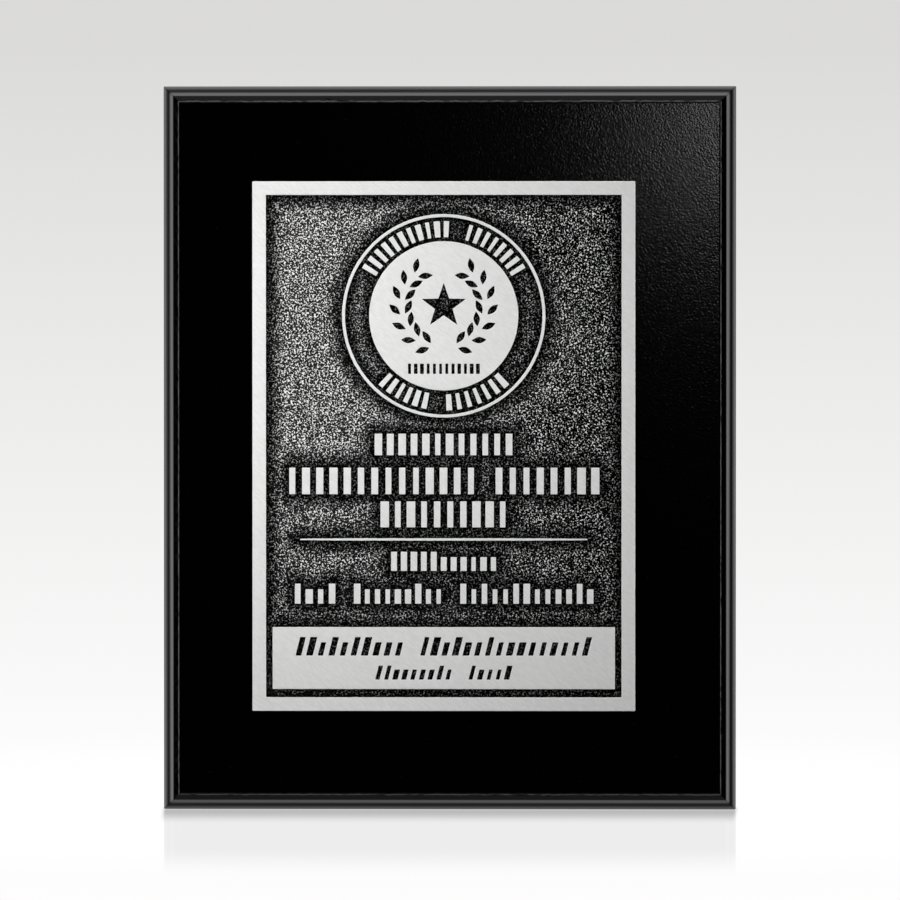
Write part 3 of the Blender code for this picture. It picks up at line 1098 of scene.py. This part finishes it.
for piece in (rim, ring, disc, rule, panel):
    finishPiece(piece, "relief_plate", satinPewter)
for piece in (strokes, *grounds):
    finishPiece(piece, "relief_plate")


# camera, floor and light

viewSizes = {
    "aim": Vector((0.00005, -0.008, -0.00075)),
    "elevation": 0.8,
    "azimuth": 0.8,
    "distance": 2.0,
    "across": 0.3167,  # width of the picture at that distance
    "sensor": 36,
    "clip": (0.05, 50),
}


def makeCamera(sizes):
    data = bpy.data.cameras.new("photoCamera")
    data.sensor_width = sizes["sensor"]
    data.lens = sizes["sensor"] * sizes["distance"] / sizes["across"]
    data.clip_start, data.clip_end = sizes["clip"]
    camera = bpy.data.objects.new("photoCamera", data)
    bpy.context.scene.collection.objects.link(camera)
    raised, turned = math.radians(sizes["elevation"]), math.radians(sizes["azimuth"])
    back = Vector((math.sin(turned), -math.cos(turned), math.sin(raised))).normalized()
    camera.location = sizes["aim"] + back * sizes["distance"]
    camera.rotation_euler = (-back).to_track_quat("-Z", "Y").to_euler()
    bpy.context.scene.camera = camera


floorSizes = {
    "radius": 0.50,
    "gap": 0.0002,  # below the board
    "fade": (0.22, 0.48),
    "mirrorReach": (0.15, 0.27),  # how far in front of the board the floor still mirrors it
    "mirrorShare": 0.155,
    "mirrorRoughness": 0.03,
    "contactReach": 0.060,  # the shade that runs forwards from the board's foot
    "contactDepth": 0.44,
    "contactBlur": 0.001,
    "dimReach": (0.15, 0.34),
    "dimDepth": 0.045,
}


def makeFloor(sizes):
    shape = bmesh.new()
    bmesh.ops.create_circle(shape, cap_ends=True, segments=96, radius=sizes["radius"])
    bmesh.ops.translate(shape, vec=(0, 0, boardLow.z - sizes["gap"]), verts=shape.verts)
    floor = newPiece("studioFloor", shape)
    made, tree, shader, place = newMaterial("paleFloor")
    parts = put(tree, "ShaderNodeSeparateXYZ", {0: place})
    ahead = calc(tree, "SUBTRACT", boardLow.y, parts.outputs["Y"])
    beside = calc(tree, "ABSOLUTE", parts.outputs["X"])
    taper = calc(tree, "MULTIPLY", ahead, boardHigh.x / viewSizes["distance"])
    edge, blur = boardHigh.x, sizes["contactBlur"]
    within = remap(tree, calc(tree, "ADD", beside, taper), edge + blur, edge - blur)
    beneath = calc(tree, "GREATER_THAN", ahead, boardLow.y)
    contact = remap(tree, ahead, sizes["contactReach"], 0.0, 0.0, sizes["contactDepth"])
    contact = calc(tree, "MULTIPLY", contact, calc(tree, "MULTIPLY", within, beneath))
    dim = remap(tree, ahead, *sizes["dimReach"], 0.0, sizes["dimDepth"])
    bright = calc(tree, "SUBTRACT", calc(tree, "SUBTRACT", 1.0, contact), dim)
    pale = put(tree, "ShaderNodeEmission", {"Color": (1, 1, 1, 1), "Strength": bright})
    settings = {"Color": (1, 1, 1, 1), "Roughness": sizes["mirrorRoughness"]}
    mirror = put(tree, "ShaderNodeBsdfGlossy", settings)
    nearer, farther = sizes["mirrorReach"]
    share = remap(tree, ahead, farther, nearer, 0.0, sizes["mirrorShare"])
    pale = put(tree, "ShaderNodeMixShader", {0: share, 1: pale.outputs[0], 2: mirror.outputs[0]})
    away = put(tree, "ShaderNodeVectorMath", {0: place}, operation="LENGTH").outputs["Value"]
    clear = tree.nodes.new("ShaderNodeBsdfTransparent")
    fade = remap(tree, away, *sizes["fade"])
    mixed = put(tree, "ShaderNodeMixShader", {0: fade, 1: pale.outputs[0], 2: clear.outputs[0]})
    tree.links.new(mixed.outputs[0], tree.nodes["Material Output"].inputs["Surface"])
    floor.data.materials.append(made)
    floor.visible_glossy = False  # or the lacquer would mirror it


def studioLight(name, kind, place, aim, power, lit=(), **settings):  # lit: the only pieces it reaches
    data = bpy.data.lights.new(name, kind)
    data.energy = power
    for key, value in settings.items():
        setattr(data, key, value)
    lamp = bpy.data.objects.new(name, data)
    bpy.context.scene.collection.objects.link(lamp)
    lamp.location = place
    lamp.rotation_euler = (Vector(aim) - Vector(place)).to_track_quat("-Z", "Y").to_euler()
    lamp.visible_camera = False
    if lit:
        chosen = bpy.data.collections.new(name + "Pieces")
        for piece in lit:
            chosen.objects.link(piece)
        lamp.light_linking.receiver_collection = chosen


worldSizes = {  # places are parts of a direction: X to the right, Y away, Z up
    "backdropUp": (0.058, -0.080),
    "backdropColours": ((0.71, 0.705, 0.70, 1), (1.0, 1.0, 1.0, 1)),
    "front": (-0.80, 0.05),  # the room brightens from the front to the sides
    "behind": (0.1, 0.6, 1.0, 0.217),  # and dims again behind
    "below": (-1.0, 0.0, 0.45, 1.0),
    "roomColours": ((0.002, 0.002, 0.002, 1), (4.6, 4.6, 4.6, 1)),
    "strips": (  # faint ones above, below and to the left, for the moulding: axis, start, full, strength
        ("Z", 0.12, 0.32, 0.16),
        ("Z", -0.10, -0.34, 0.10),
        ("X", -0.30, -0.60, 0.07),
    ),
    "stripEnds": (0.35, 0.15),
}


def makeWorld(sizes):
    world = bpy.data.worlds.new("paleStudio")
    world.use_nodes = True
    bpy.context.scene.world = world
    tree = world.node_tree
    tree.nodes.clear()
    way = put(tree, "ShaderNodeTexCoord").outputs["Generated"]
    parts = put(tree, "ShaderNodeSeparateXYZ", {0: way})
    x, y, z = (parts.outputs[axis] for axis in "XYZ")
    fall = remap(tree, z, *sizes["backdropUp"], smooth=False)
    backdrop = blendColour(tree, fall, *sizes["backdropColours"])
    around = remap(tree, y, *sizes["front"])
    around = calc(tree, "MULTIPLY", around, remap(tree, y, *sizes["behind"]))
    around = calc(tree, "MULTIPLY", around, remap(tree, z, *sizes["below"]))
    for axis, starts, full, strength in sizes["strips"]:
        along = calc(tree, "ABSOLUTE", x if axis == "Z" else z)
        strip = remap(tree, parts.outputs[axis], starts, full, 0.0, strength)
        strip = calc(tree, "MULTIPLY", strip, remap(tree, along, *sizes["stripEnds"]))
        around = calc(tree, "ADD", around, strip, clamp=True)
    room = blendColour(tree, around, *sizes["roomColours"])
    shownTo = put(tree, "ShaderNodeLightPath").outputs["Is Camera Ray"]
    light = put(tree, "ShaderNodeBackground", {"Color": blendColour(tree, shownTo, room, backdrop)})
    put(tree, "ShaderNodeOutputWorld", {"Surface": light.outputs[0]})


makeCamera(viewSizes)
makeFloor(floorSizes)
makeWorld(worldSizes)

# the key and the spot reach only the metal, and the sheen is a small lamp for the lacquer
metalPieces = (rim, ring, disc, rule, panel, strokes, *grounds)
studioLight(
    "keyLight",
    "AREA",
    place=(-0.30, -1.15, 0.16),
    aim=(0, 0, 0),
    power=2.2,
    lit=metalPieces,
    shape="RECTANGLE",
    size=0.60,
    size_y=0.80,
)
studioLight(
    "spotLight",
    "SPOT",
    place=(-0.25, -0.98, 0.16),
    aim=(-0.048, 0, 0.020),
    power=5.6,
    lit=metalPieces,
    spot_size=math.radians(17.5),
    spot_blend=0.75,
    shadow_soft_size=0.08,
)
studioLight(
    "sheenLight",
    "AREA",
    place=(0.214, -2.0, 0.225),
    aim=(0.12, 0, 0.12),
    power=0.36,
    shape="DISK",
    size=0.12,
)
bpy.context.scene.view_settings.view_transform = "Standard"
print("studio set")
